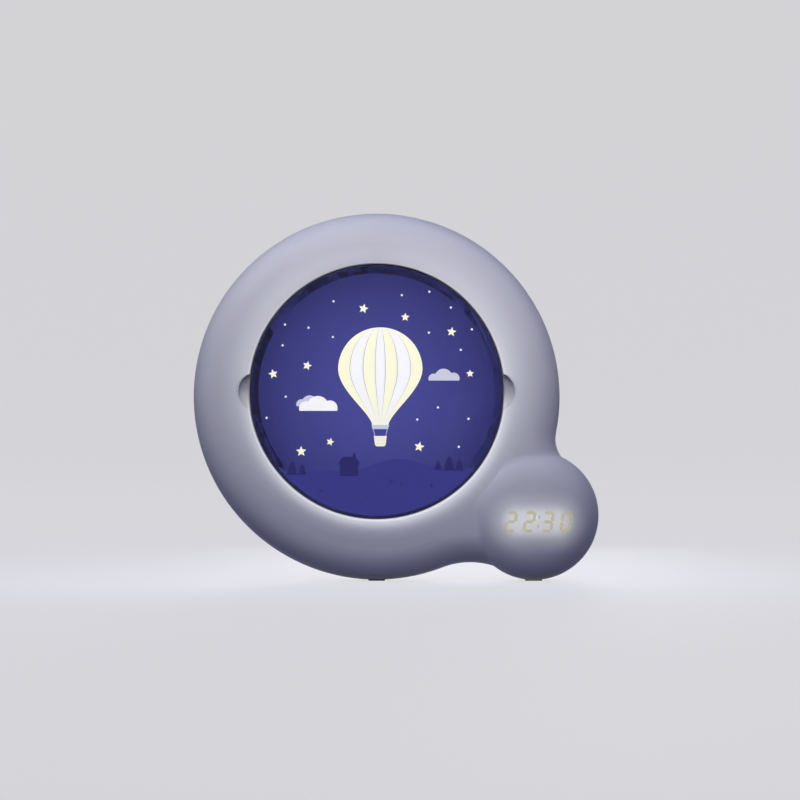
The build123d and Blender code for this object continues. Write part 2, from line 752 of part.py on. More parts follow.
with BuildPart() as alarm_switch_knob:
    extrude(plate(panel_outside + button_proud, *slider_knob, slider_place),
            amount=panel_outside + button_proud - flange_back)
    with BuildSketch(face(panel_outside + button_proud)):
        with Locations(slider_place):
            with GridLocations(slider_knob[0] / 3, 0, 3, 1):
                Rectangle(slider_knob[0] / 8, slider_knob[1])
    extrude(amount=button_proud / 3, mode=Mode.SUBTRACT)
    extrude(plate(flange_back, slider_knob[0] + slider_travel + 2 * slider_lap,
                  slider_knob[1] + 2 * slider_play + 2 * slider_lap, slider_place), amount=flange_thick)
    extrude(plate(flange_back, slider_lever, slider_lever, slider_place),
            amount=flange_back - slider_top + slider_height / 2 - slider_play)
alarm_switch_knob.part.label = "alarm_switch_knob"
export_step(alarm_switch_knob.part, "parts/alarm_switch_knob.step")

socket_top = panel_outside - socket_sink
socket_mouth = (socket_size[0] - 2 * socket_wall, socket_size[1] - 2 * socket_wall)
with BuildPart() as power_socket:
    extrude(slots(socket_top, *socket_size, socket_place), amount=socket_top - control_back)
    extrude(slots(socket_top, *socket_mouth, socket_place),
            amount=socket_top - control_back - 2 * socket_wall, mode=Mode.SUBTRACT)
    extrude(plate(socket_top - socket_tongue, socket_mouth[0] - 2 * socket_tongue, socket_wall,
                  socket_place), amount=socket_top - socket_tongue - control_back)
power_socket.part.label = "power_socket"
export_step(power_socket.part, "parts/power_socket.step")

# ---------------------------------------------------------------- battery compartment
cell_places = [bay + Vector(0, (n - (cell_count - 1) / 2) * cell_pitch) for n in range(cell_count)]


def along_x(place, depth):
    """Plane across a lying cell's axis, facing +X."""
    origin = (ring_x + place.X, split_y + depth, ring_z + place.Y)
    return Plane(origin=origin, x_dir=(0, 1, 0), z_dir=(1, 0, 0))


with BuildPart() as battery_cells:
    for n, place in enumerate(cell_places):
        way = 1 if n % 2 == 0 else -1
        tip = way * (bay_length / 2 - contact_thick - contact_play)
        with BuildSketch(along_x(place + Vector(tip - way * cell_nub, 0), cell_depth)):
            Circle(cell_radius)
        extrude(amount=-way * cell_length)
        with BuildSketch(along_x(place + Vector(tip, 0), cell_depth)):
            Circle(cell_nub_radius)
        extrude(amount=-way * cell_nub)
battery_cells.part.label = "battery_cells"
export_step(battery_cells.part, "parts/battery_cells.step")

with BuildPart() as battery_contacts:
    for side in (-1, 1):
        for place in cell_places:
            with BuildSketch(along_x(place + Vector(side * bay_length / 2, 0), cell_depth)):
                Rectangle(contact_width, contact_width)
            extrude(amount=-side * contact_thick)
battery_contacts.part.label = "battery_contacts"
export_step(battery_contacts.part, "parts/battery_contacts.step")

spring_height = spring_length - 2 * spring_wire
spring_taper = degrees(atan((spring_root - spring_tip) / spring_height))
with BuildPart() as battery_springs:
    for n, place in enumerate(cell_places):
        way = -1 if n % 2 == 0 else 1
        root = place + Vector(way * (bay_length / 2 - contact_thick - spring_wire), 0)
        with BuildLine() as coil:
            Helix(spring_height / spring_turns, spring_height, spring_root, cone_angle=-spring_taper,
                  center=along_x(root, cell_depth).origin, direction=(-way, 0, 0))
        with BuildSketch(Plane(origin=coil.line @ 0, z_dir=coil.line % 0)):
            RegularPolygon(spring_wire, wire_sides)
        sweep()
battery_springs.part.label = "battery_springs"
export_step(battery_springs.part, "parts/battery_springs.step")

with BuildPart() as battery_door:
    extrude(plate(back_height, door_length - 2 * door_play, door_height - 2 * door_play, bay,
                  corner=door_corner - door_play), amount=door_thick - door_play / 2)
    fillet(battery_door.edges().group_by(Axis.Y)[-1], door_play)
    extrude(plate(door_seat + door_play / 2, bay_length - 2 * door_play, bay_height - 2 * door_play, bay),
            amount=door_rib)
    extrude(plate(door_seat, bay_length - 4 * door_rib, bay_height - 4 * door_rib, bay),
            amount=door_rib, mode=Mode.SUBTRACT)
    extrude(discs(back_height, small_head_radius + head_play, *door_screw_places),
            amount=back_height - door_screw_seat, mode=Mode.SUBTRACT)
    extrude(discs(back_height, small_screw_radius + screw_play, *door_screw_places),
            amount=door_thick, mode=Mode.SUBTRACT)
battery_door.part.label = "battery_door"
export_step(battery_door.part, "parts/battery_door.step")

# Each group of small screws: its places, the depth of its seat, where its tips end and its way
board_seat = box_floor + board_thick
control_front = control_back - board_thick
small_screws = {
    "battery_door_screws": (door_screw_places, door_screw_seat, door_seat - small_screw_bite, 1),
    "light_box_screws": (lug_screws, box_floor, -small_screw_bite, 1),
    "led_board_screws": (lamp_screws, board_seat, slip, 1),
    "control_board_screws": (control_screw_places, control_front, control_back + small_screw_bite, -1),
}
for name, (places, seat, tip, way) in small_screws.items():
    group = screws(places, seat, way * (seat - tip), small_screw_radius, small_head_radius,
                   small_head_height, way)
    group.label = name
    export_step(group, f"parts/{name}.step")

# ---------------------------------------------------------------- loudspeaker
flange_front = back_inside - speaker_flange
basket_front = back_inside - speaker_depth + magnet_height
basket_floor = basket_front + speaker_plate
with BuildPart() as speaker_frame:
    with BuildSketch(section(speaker)):
        with BuildLine():
            Polyline((speaker_radius, back_inside), (speaker_radius, flange_front),
                     (basket_shoulder, flange_front), (magnet_radius, basket_front),
                     (0, basket_front), (0, basket_floor), (magnet_radius, basket_floor),
                     (basket_mouth, back_inside), close=True)
        make_face()
    revolve(axis=axis(speaker))
speaker_frame.part.label = "speaker_frame"
export_step(speaker_frame.part, "parts/speaker_frame.step")

with BuildPart() as speaker_magnet:
    extrude(discs(basket_front, magnet_radius, speaker), amount=magnet_height)
    chamfer(speaker_magnet.edges().group_by(Axis.Y)[0], magnet_chamfer)
speaker_magnet.part.label = "speaker_magnet"
export_step(speaker_magnet.part, "parts/speaker_magnet.step")

cone_rim = back_inside - cone_seat
cone_floor = cone_rim - cone_depth
basket_slope = (basket_mouth - magnet_radius) / (back_inside - basket_floor)
cone_radius = magnet_radius + basket_slope * (cone_rim - cone_thick - basket_floor)
with BuildPart() as speaker_cone:
    with BuildSketch(section(speaker)):
        with BuildLine():
            ThreePointArc((-cap_radius, cone_floor), (0, cone_floor + cap_height), (cap_radius, cone_floor))
            Polyline((cap_radius, cone_floor), (cone_radius - cone_edge, cone_rim), (cone_radius, cone_rim),
                     (cone_radius, cone_rim - cone_thick), (cone_radius - cone_edge, cone_rim - cone_thick),
                     (cap_radius, cone_floor - cone_thick), (-cap_radius, cone_floor - cone_thick),
                     (-cap_radius, cone_floor))
        make_face()
        with Locations((-cone_radius, 0)):
            Rectangle(2 * cone_radius, 4 * back_height, mode=Mode.SUBTRACT)
    revolve(axis=axis(speaker))
speaker_cone.part.label = "speaker_cone"
export_step(speaker_cone.part, "parts/speaker_cone.step")
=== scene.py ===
# %% [markdown]
# # A ring-shaped alarm clock with a night light
#
# The real clock is a moulded plastic ring that carries a lit picture disc, with a round lobe at
# its lower right where the time glows through the plastic. Its solids come packed from the CAD
# model. They could be modelled again here, but then the two models would drift apart, so this
# script keeps them and gives them finishes. It adds only what is printed or lit: the picture and
# the figures. Then it builds a small studio. Lengths are metres, Z is up, and the clock faces -Y.

# %% Load the clock
import math
import random

import bmesh
import bpy
from mathutils import Matrix, Vector
from mathutils.bvhtree import BVHTree


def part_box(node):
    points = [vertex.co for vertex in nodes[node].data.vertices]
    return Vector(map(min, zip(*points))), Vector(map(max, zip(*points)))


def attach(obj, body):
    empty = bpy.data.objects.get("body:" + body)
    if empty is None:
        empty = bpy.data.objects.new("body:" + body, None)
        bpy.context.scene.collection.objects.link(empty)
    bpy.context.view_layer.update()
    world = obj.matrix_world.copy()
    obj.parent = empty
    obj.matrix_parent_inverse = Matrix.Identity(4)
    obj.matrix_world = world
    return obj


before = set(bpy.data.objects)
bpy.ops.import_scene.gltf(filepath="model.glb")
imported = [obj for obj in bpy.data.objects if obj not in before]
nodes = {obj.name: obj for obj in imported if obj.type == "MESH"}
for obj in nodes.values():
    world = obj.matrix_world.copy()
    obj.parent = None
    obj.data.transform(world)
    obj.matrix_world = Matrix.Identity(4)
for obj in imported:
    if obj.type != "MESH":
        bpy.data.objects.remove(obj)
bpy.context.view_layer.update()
mm = 0.001

# %% [markdown]
# ## Places that the finishes line up with
#
# The picture fills the disc, the lip round the disc catches its light, and the figures glow over
# the light guide. These places could be typed in as numbers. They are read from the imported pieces
# instead, so the finishes follow when a piece changes its size.

# %% Find the disc, the film and the light guide
disc_low, disc_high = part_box("disc_cover")
film_low, film_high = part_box("picture_print")
guide_low, guide_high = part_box("display_guide")
disc_centre = (disc_low + disc_high) / 2
film_radius = (film_high.x - film_low.x) / 2
figures_centre = (guide_low + guide_high) / 2
shell_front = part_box("front_shell")[0].y
parting_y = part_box("rear_shell")[0].y
print("film radius in mm:", round(film_radius / mm, 2))
print("disc centre in mm:", [round(v / mm, 1) for v in disc_centre])
print("figures centre in mm:", [round(v / mm, 1) for v in figures_centre])


# %% [markdown]
# ## Helpers for shader trees
#
# A finish is a tree of nodes. It could be built by hand in the shader editor, but a script can
# name each step. A helper adds a few nodes and gives back their output, so a finish reads from top
# to bottom. A colour is written as it looks on screen, from 0 to 255, and turned into the linear
# light that the shaders work in.
#
# Blender's own names for a Mix node's inputs repeat for each kind of value, so `mix` picks its
# colour inputs by their numbers.

# %% Screen colours
def srgb(red, green, blue):
    """A screen colour as linear light, with an alpha of 1."""
    def linear(value):
        value /= 255
        return value / 12.92 if value <= 0.04045 else ((value + 0.055) / 1.055) ** 2.4
    return linear(red), linear(green), linear(blue), 1.0


BLACK = srgb(0, 0, 0)
print("middle grey in linear light:", [round(v, 3) for v in srgb(128, 128, 128)])


# %% Numbers in a tree
def feed(tree, socket, value):
    """Sets a socket to a constant, or links an output to it."""
    if isinstance(value, bpy.types.NodeSocket):
        tree.links.new(value, socket)
    else:
        socket.default_value = value


def calc(tree, operation, first, second=0.0, third=0.0):
    """One step of arithmetic."""
    node = tree.nodes.new("ShaderNodeMath")
    node.operation = operation
    for socket, value in zip(node.inputs, (first, second, third)):
        feed(tree, socket, value)
    return node.outputs[0]


def ramp(tree, value, start, end, to_start=0.0, to_end=1.0):
    """A smooth change from one value to another."""
    node = tree.nodes.new("ShaderNodeMapRange")
    node.interpolation_type = "SMOOTHSTEP"
    for socket, number in zip(node.inputs, (value, start, end, to_start, to_end)):
        feed(tree, socket, number)
    return node.outputs[0]


def far_from(tree, first, second):
    """The length of the line whose two legs are given."""
    return calc(tree, "SQRT", calc(tree, "ADD", calc(tree, "MULTIPLY", first, first),
                                   calc(tree, "MULTIPLY", second, second)))


# %% Colours and noise in a tree
def mix(tree, share, first, second):
    """A colour between two colours."""
    node = tree.nodes.new("ShaderNodeMix")
    node.data_type = "RGBA"
    for socket, value in zip((node.inputs[0], node.inputs[6], node.inputs[7]), (share, first, second)):
        feed(tree, socket, value)
    return node.outputs[2]


def dim(tree, colour, gain):
    """A colour times a number."""
    node = tree.nodes.new("ShaderNodeVectorMath")
    node.operation = "SCALE"
    feed(tree, node.inputs[0], colour)
    feed(tree, node.inputs["Scale"], gain)
    return node.outputs[0]


def noise(tree, place, scale, detail):
    """A cloudy number between 0 and 1."""
    node = tree.nodes.new("ShaderNodeTexNoise")
    for label, value in (("Vector", place), ("Scale", scale), ("Detail", detail)):
        feed(tree, node.inputs[label], value)
    return node.outputs["Fac"]


# %% Places on a piece
def place_node(tree, centre=(0, 0, 0), stretch=(1, 1, 1)):
    """Object coordinates, moved to a centre and stretched."""
    mapping = tree.nodes.new("ShaderNodeMapping")
    mapping.vector_type = "TEXTURE"
    mapping.inputs["Location"].default_value = centre
    mapping.inputs["Scale"].default_value = stretch
    tree.links.new(tree.nodes.new("ShaderNodeTexCoord").outputs["Object"], mapping.inputs["Vector"])
    return mapping.outputs[0]


def parts_of(tree, vector):
    """A vector's x, y and z."""
    node = tree.nodes.new("ShaderNodeSeparateXYZ")
    tree.links.new(vector, node.inputs[0])
    return node.outputs


# %% [markdown]
# ## Shader groups
#
# The same few effects come back on many pieces: moulded grain, drawn metal, circuit tracks. Each
# could be copied into every material. A group is built once and used with other values in each.
# It puts out only colours and numbers, and the shader itself stays in the material.

# %% A group's frame: inputs and outputs by name
KINDS = {"number": "NodeSocketFloat", "colour": "NodeSocketColor"}


def new_group(name, inputs, outputs):
    """A group's tree, with its input and output sockets."""
    tree = bpy.data.node_groups.new(name, "ShaderNodeTree")
    for label, value in inputs.items():
        kind = KINDS["colour" if isinstance(value, tuple) else "number"]
        tree.interface.new_socket(name=label, in_out="INPUT", socket_type=kind).default_value = value
    for label, kind in outputs.items():
        tree.interface.new_socket(name=label, in_out="OUTPUT", socket_type=KINDS[kind])
    print("group:", name)
    return tree, tree.nodes.new("NodeGroupInput").outputs, tree.nodes.new("NodeGroupOutput").inputs


def use_group(tree, group, **values):
    """Puts a group into a material's tree and gives back its outputs."""
    node = tree.nodes.new("ShaderNodeGroup")
    node.node_tree = group
    for label, value in values.items():
        feed(tree, node.inputs[label], value)
    return node.outputs


# %% [markdown]
# Moulded plastic copies its steel mould, which is eroded by sparks to a fine satin grain. The
# grain is a small noise that feeds the bump. Plastic also cools unevenly and is rubbed by hands,
# so a slow noise lets its colour and its roughness drift a little.

# %% Moulded plastic
def make_moulded():
    tree, given, result = new_group(
        "moulded",
        {"Colour": (0.8, 0.8, 0.8, 1), "Drift": 0.04, "Grain": 1500.0, "Cloud": 16.0, "Rubbing": 0.12},
        {"Colour": "colour", "Height": "number", "Wear": "number"})
    place = place_node(tree)
    swing = calc(tree, "SUBTRACT", noise(tree, place, given["Cloud"], 2), 0.5)
    gain = calc(tree, "MULTIPLY_ADD", calc(tree, "MULTIPLY", swing, given["Drift"]), 2.0, 1.0)
    tree.links.new(dim(tree, given["Colour"], gain), result["Colour"])
    tree.links.new(noise(tree, place, given["Grain"], 3), result["Height"])
    tree.links.new(calc(tree, "MULTIPLY", swing, given["Rubbing"]), result["Wear"])
    return tree


moulded = make_moulded()


# %% [markdown]
# Sheet metal is rolled or drawn, which leaves long fine streaks, and handling leaves duller
# patches. The streaks could come from an image, but a noise that is stretched along X makes them
# at any size.

# %% Drawn or stamped metal
STREAK_STRETCH = (30, 1, 1)
PATCH_SCALE = 90.0
PATCH_START, PATCH_FULL = 0.45, 0.7             # noise values between which a patch turns dull


def make_streaks():
    tree, given, result = new_group(
        "streaks",
        {"Colour": (0.6, 0.6, 0.6, 1), "Fineness": 900.0, "Contrast": 0.25, "Patches": 0.12,
         "Dulling": 0.18},
        {"Colour": "colour", "Height": "number", "Wear": "number"})
    streak = noise(tree, place_node(tree, stretch=STREAK_STRETCH), given["Fineness"], 3)
    dull = ramp(tree, noise(tree, place_node(tree), PATCH_SCALE, 3), PATCH_START, PATCH_FULL)
    shade = calc(tree, "MULTIPLY", calc(tree, "SUBTRACT", streak, 0.5), given["Contrast"])
    gain = calc(tree, "SUBTRACT", calc(tree, "ADD", shade, 1.0),
                calc(tree, "MULTIPLY", dull, given["Patches"]))
    tree.links.new(dim(tree, given["Colour"], gain), result["Colour"])
    tree.links.new(streak, result["Height"])
    tree.links.new(calc(tree, "MULTIPLY", dull, given["Dulling"]), result["Wear"])
    return tree


streaks = make_streaks()


# %% [markdown]
# A circuit board is covered with green mask, and its copper tracks show as raised paler lines.
# A zigzag of X or of Z gives evenly spaced lines, and a coarse noise chooses which way they run.

# %% Circuit board
FIELD_SCALE = 70.0          # of the fields in which the tracks run one way
FIELD_STRETCH = (1, 8, 1)   # long in Y, so the board's edge shows the fields of its face


def make_tracks():
    tree, given, result = new_group(
        "tracks",
        {"Mask": (0.01, 0.1, 0.04, 1), "Copper": (0.06, 0.22, 0.08, 1), "Pitch": 1.6 * mm, "Gap": 0.34},
        {"Colour": "colour", "Height": "number"})
    x, _, z = parts_of(tree, place_node(tree))
    half_pitch = calc(tree, "MULTIPLY", given["Pitch"], 0.5)
    field = noise(tree, place_node(tree, stretch=FIELD_STRETCH), FIELD_SCALE, 0)
    turned = calc(tree, "GREATER_THAN", field, 0.5)
    across = calc(tree, "MULTIPLY", calc(tree, "PINGPONG", x, half_pitch), turned)
    along = calc(tree, "MULTIPLY", calc(tree, "PINGPONG", z, half_pitch),
                 calc(tree, "SUBTRACT", 1.0, turned))
    track = calc(tree, "GREATER_THAN", calc(tree, "ADD", across, along),
                 calc(tree, "MULTIPLY", given["Pitch"], given["Gap"]))
    tree.links.new(mix(tree, track, given["Mask"], given["Copper"]), result["Colour"])
    tree.links.new(track, result["Height"])
    return tree


tracks = make_tracks()


# %% [markdown]
# The plastic is thin, so the disc's lamp shines into the lip round it: a bright thread at the very
# rim, a narrow band under the disc, and a wide weak one beside and above it. Below the disc much of
# this is a painted highlight, where the lower lip faces up to the lamps above. The two finger
# notches are left out of the glow, so the lamps' own shade shows in them, but their feet keep a
# painted highlight from above. Scattering inside the wall could be simulated, but that is slow and
# noisy. A mask by distance from the disc's centre looks the same, and bakes well.

# %% Light in the lip
# The gains below the disc paint a highlight where the lower lip faces up to the lamps above.
THREAD_ABOVE, THREAD_GAIN = 0.08, 0.28          # share above the disc, and how much more below it
WIDE_ABOVE, WIDE_GAIN = 0.26, 0.33              # share above the disc, and how much more beside it
BAND_SHARE = 0.5                                # of the narrow and the wide band together
NARROW_FALL = 1.5                               # how fast the narrow band fades up the disc's sides
NOTCH_START, NOTCH_FULL = 1.02, 0.9             # a notch's soft border, in notch sizes
NOTCH_FOOT, NOTCH_DARK = -9 * mm, 4 * mm        # heights between which a notch turns dark
NOTCH_LEAST = 0.1                               # the share of its darkness that its foot has


def make_lip_glow_and_highlight():
    tree, given, result = new_group(
        "lip_glow_and_highlight",
        {"Well": 69.3 * mm, "Well End": 70.2 * mm, "Edge": 70 * mm, "Thread": 71.2 * mm, "Narrow": 79 * mm,
         "Wide": 88 * mm, "Notch Centre": 69 * mm, "Notch Depth": 7.7 * mm, "Notch Half": 9.9 * mm},
        {"Mask": "number"})
    x, y, z = parts_of(tree, place_node(tree, centre=disc_centre))
    away = far_from(tree, x, z)
    # down is 1 under the disc and 0 over it; it makes the painted highlight stronger below.
    down = calc(tree, "MULTIPLY_ADD", calc(tree, "DIVIDE", z, away), -0.5, 0.5)
    aside = calc(tree, "DIVIDE", calc(tree, "ABSOLUTE", x), away)
    thread = calc(tree, "MULTIPLY", ramp(tree, away, given["Thread"], given["Edge"]),
                  calc(tree, "MULTIPLY_ADD", down, THREAD_GAIN, THREAD_ABOVE))
    narrow = calc(tree, "POWER", ramp(tree, away, given["Narrow"], given["Edge"]), 2.0)
    narrow = calc(tree, "MULTIPLY", narrow, calc(tree, "POWER", down, NARROW_FALL))
    wide = calc(tree, "MULTIPLY", ramp(tree, away, given["Wide"], given["Edge"]),
                calc(tree, "SUBTRACT", 1.0, calc(tree, "POWER", down, 2.0)))
    wide = calc(tree, "MULTIPLY", wide, calc(tree, "MULTIPLY_ADD", aside, WIDE_GAIN, WIDE_ABOVE))
    glow = calc(tree, "ADD", thread, calc(tree, "MULTIPLY", calc(tree, "ADD", narrow, wide), BAND_SHARE))
    # A notch loses the glow, so the lamps' own shade shows in it, and its foot keeps part of it as a painted
    # highlight.
    inward = calc(tree, "DIVIDE", calc(tree, "SUBTRACT", away, given["Notch Centre"]), given["Notch Depth"])
    upward = calc(tree, "DIVIDE", z, given["Notch Half"])
    notch = ramp(tree, far_from(tree, inward, upward), NOTCH_START, NOTCH_FULL)
    notch = calc(tree, "MULTIPLY", notch, ramp(tree, z, NOTCH_FOOT, NOTCH_DARK, NOTCH_LEAST, 1.0))
    lit = calc(tree, "MULTIPLY", glow, calc(tree, "SUBTRACT", 1.0, notch))
    lit = calc(tree, "MULTIPLY", lit, ramp(tree, away, given["Well"], given["Well End"]))
    front = calc(tree, "LESS_THAN", y, parting_y - disc_centre.y)
    tree.links.new(calc(tree, "MULTIPLY", lit, front), result["Mask"])
    return tree


lip_glow_and_highlight = make_lip_glow_and_highlight()


# %% [markdown]
# Behind the figures the lamps light the dome as a soft band with round ends, brightest close to
# the figures. Lamps could really shine through the wall, but as in the lip, a mask is quicker. It
# measures how far a point lies from a short level line.

# %% Light round the figures
WIDE_SHARE, NEAR_SHARE = 0.3, 0.26
BAND_SHIFT = Vector((0.8 * mm, 0, 0))           # the band lies this much left of the figures


def make_display_light():
    tree, given, result = new_group(
        "display_light",
        {"Half Length": 10.5 * mm, "Core": 3 * mm, "Near": 11 * mm, "Reach": 19 * mm},
        {"Mask": "number"})
    x, y, z = parts_of(tree, place_node(tree, centre=figures_centre - BAND_SHIFT))
    past = calc(tree, "SUBTRACT", calc(tree, "ABSOLUTE", x), given["Half Length"])
    away = far_from(tree, calc(tree, "MAXIMUM", past, 0.0), z)
    wide = calc(tree, "MULTIPLY", ramp(tree, away, given["Reach"], given["Core"]), WIDE_SHARE)
    near = calc(tree, "MULTIPLY", ramp(tree, away, given["Near"], given["Core"]), NEAR_SHARE)
    front = calc(tree, "LESS_THAN", y, 0.0)
    tree.links.new(calc(tree, "MULTIPLY", calc(tree, "ADD", wide, near), front), result["Mask"])
    return tree


display_light = make_display_light()


# %% [markdown]
# ## Finishes
#
# A finish is a Principled shader whose colour and bump come from one of the groups. Most groups
# change its roughness too. One function could hold every case, but short calls with only what
# differs are easier to read.

# %% The start of every finish
BUMP_STRENGTH = 0.4


def new_finish(name, group, roughness, relief, metallic=0.0, constants=None, **look):
    """A material, its tree and its shader. The relief is the bump's height in millimetres."""
    material = bpy.data.materials.new(name)
    material.use_nodes = True
    tree = material.node_tree
    shader = tree.nodes["Principled BSDF"]
    shader.inputs["Metallic"].default_value = metallic
    for label, value in (constants or {}).items():
        shader.inputs[label].default_value = value
    given = use_group(tree, group, **look)
    tree.links.new(given["Colour"], shader.inputs["Base Color"])
    shader.inputs["Roughness"].default_value = roughness
    if "Wear" in given:
        tree.links.new(calc(tree, "ADD", given["Wear"], roughness), shader.inputs["Roughness"])
    bump = tree.nodes.new("ShaderNodeBump")
    bump.inputs["Strength"].default_value = BUMP_STRENGTH
    bump.inputs["Distance"].default_value = relief * mm
    tree.links.new(given["Height"], bump.inputs["Height"])
    tree.links.new(bump.outputs["Normal"], shader.inputs["Normal"])
    return material, tree, shader


# %% From a finish to its pieces
def dress(material, *names):
    """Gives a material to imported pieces."""
    for name in names:
        for slot in nodes[name].material_slots:
            slot.material = material
    print(material.name, "->", ", ".join(names))


def coat(names, *finish, **look):
    """A finish that nothing is added to, made and given to its pieces at once."""
    dress(new_finish(*finish, **look)[0], *names)


# %% [markdown]
# The housing is moulded in a cool white satin plastic and glows a little where a lamp is close
# behind it. On the lower lip round the disc the glow is also a painted highlight of the lamps above.
# The glow is added as emission on top of the plastic's own colour, because the same wall is plain
# plastic everywhere else.

# %% Housing
GLOW_STRENGTH = 0.76


def make_shell():
    material, tree, shader = new_finish("shell_plastic", moulded, 0.5, 0.02, Colour=srgb(205, 204, 213),
                                        Drift=0.015, Grain=2400.0, constants={"Specular IOR Level": 0.2})
    # The lip's mask holds painted highlight as well as the disc's own light.
    lit = calc(tree, "MAXIMUM", use_group(tree, lip_glow_and_highlight)["Mask"], use_group(tree, display_light)["Mask"])
    tree.links.new(mix(tree, lit, BLACK, srgb(236, 238, 233)), shader.inputs["Emission Color"])
    shader.inputs["Emission Strength"].default_value = GLOW_STRENGTH
    return material


dress(make_shell(), "front_shell", "rear_shell", "battery_door")

# %% [markdown]
# The small plastic and rubber pieces differ in colour, gloss and grain, so they all come from the
# moulded group. Rubber and paper are rough and coarse, and a lamp box is smooth and nearly white.

# %% Outer plastic and rubber
coat(["hour_button", "minute_button", "alarm_button", "light_button", "alarm_switch_knob"],
     "button_plastic", moulded, 0.4, 0.01, Colour=srgb(128, 130, 172), Drift=0.03)
coat(["foot_pads"], "foot_rubber", moulded, 0.85, 0.08, Colour=srgb(150, 150, 162), Drift=0.12, Grain=700.0)
coat(["disc_tray"], "tray_plastic", moulded, 0.35, 0.01, Colour=srgb(24, 24, 58), Drift=0.05)

# %% Inner plastic and paper
coat(["display_guide"], "guide_plastic", moulded, 0.6, 0.02, Colour=srgb(24, 24, 28), Drift=0.1)
coat(["light_box"], "reflector_plastic", moulded, 0.3, 0.01, Colour=srgb(238, 238, 240), Drift=0.02)
coat(["control_chip"], "chip_black", moulded, 0.55, 0.03, Colour=srgb(30, 30, 33), Drift=0.1, Grain=900.0)
coat(["tact_switches"], "switch_black", moulded, 0.45, 0.02, Colour=srgb(38, 38, 42), Drift=0.08)
coat(["speaker_magnet"], "magnet_black", moulded, 0.5, 0.05, Colour=srgb(52, 52, 58), Drift=0.15,
     Grain=500.0)
coat(["speaker_cone"], "cone_paper", moulded, 0.9, 0.12, Colour=srgb(44, 43, 46), Drift=0.15,
     Grain=420.0)


# %% [markdown]
# A battery cell is a steel can in a printed plastic wrap, bare at both ends. The wrap could be a
# painted image, but its bands only change along the cell. All three cells point along X, one above
# the other, so one measure along X draws the bands on all of them.

# %% Battery cells
BAND_START, BAND_FULL, WRAP_END = 0.68, 0.69, 0.95      # shares of the way from the middle to the end


def make_cells():
    material, tree, shader = new_finish("cell_wrap", moulded, 0.22, 0.005, Drift=0.05)
    cells_low, cells_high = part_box("battery_cells")
    half_cell = (cells_high.x - cells_low.x) / 2
    x = parts_of(tree, place_node(tree, centre=(cells_low + cells_high) / 2))[0]
    along = calc(tree, "ABSOLUTE", x)
    banded = mix(tree, ramp(tree, along, half_cell * BAND_START, half_cell * BAND_FULL),
                 srgb(40, 96, 84), srgb(205, 200, 182))
    bare = calc(tree, "GREATER_THAN", along, half_cell * WRAP_END)
    plastic = next(node for node in tree.nodes if node.type == "GROUP")
    tree.links.new(mix(tree, bare, banded, srgb(186, 186, 190)), plastic.inputs["Colour"])
    tree.links.new(bare, shader.inputs["Metallic"])
    return material


dress(make_cells(), "battery_cells")

# %% [markdown]
# The opal plate behind the picture and the small lamps give light. Real lamps in them would cost
# much render time for pieces that are mostly hidden, so they are given a plain emission.

# %% Diffuser and small lamps
coat(["diffuser_plate"], "diffuser_plastic", moulded, 0.5, 0.02, Colour=srgb(232, 234, 246), Drift=0.02,
     constants={"Emission Color": srgb(210, 216, 255), "Emission Strength": 0.3})
coat(["board_leds", "display_leds"], "lamp_body", moulded, 0.25, 0.01, Colour=srgb(244, 232, 186),
     Drift=0.05, constants={"Emission Color": srgb(255, 236, 190), "Emission Strength": 0.4})

# %% [markdown]
# Screws, springs, contacts and the speaker's basket are plated steel. Their colour is the colour
# of their reflection, so Metallic is 1, and they differ in tint, roughness and relief. The circuit
# boards take the track pattern as it is.

# %% Metal and circuit boards
STEEL = srgb(176, 177, 182)
coat(["shell_screws", "battery_door_screws", "light_box_screws", "led_board_screws", "control_board_screws"],
     "screw_steel", streaks, 0.32, 0.01, metallic=1.0, Colour=STEEL)
coat(["battery_springs", "battery_contacts"], "contact_metal", streaks, 0.22, 0.005, metallic=1.0,
     Colour=srgb(206, 204, 196))
coat(["alarm_switch_body"], "switch_steel", streaks, 0.3, 0.01, metallic=1.0, Colour=STEEL)
coat(["power_socket"], "socket_steel", streaks, 0.28, 0.01, metallic=1.0, Colour=srgb(190, 190, 194))
coat(["speaker_frame"], "speaker_steel", streaks, 0.4, 0.02, metallic=1.0, Colour=srgb(150, 151, 156))
coat(["led_board", "display_board", "control_board"], "circuit_board", tracks, 0.35, 0.03)


# %% [markdown]
# ## The picture disc
#
# An indigo film lies behind a clear cover and is lit from behind, brightest near the middle. The
# light could come through the film from the plate behind it. A glow in the film itself, which
# falls with the square of the distance, gives the same look without noise.

# %% Film
def make_film():
    material, tree, shader = new_finish("picture_film", moulded, 0.4, 0.001, Colour=srgb(20, 20, 48),
                                        Drift=0.05, constants={"Specular IOR Level": 0.1,
                                                               "Emission Strength": 1.0})
    x, _, z = parts_of(tree, place_node(tree, centre=disc_centre))
    away = calc(tree, "DIVIDE", far_from(tree, x, z), film_radius)
    hue = mix(tree, calc(tree, "MULTIPLY", away, away), srgb(67, 68, 145), srgb(36, 38, 96))
    tree.links.new(hue, shader.inputs["Emission Color"])
    return material


dress(make_film(), "picture_print")


# %% [markdown]
# The cover is clear polycarbonate, and the film is glued to its back. Glass in a path tracer
# throws a dark shadow on what lies behind it, so the material lets shadow rays and diffuse rays
# straight through. It does the same where a ray leaves the glass, because glue has no air gap
# that could reflect. The bump starts from each face's true normal. On the flat front that changes
# nothing, and on the narrow rounded edge the reflections follow the mesh's small facets.

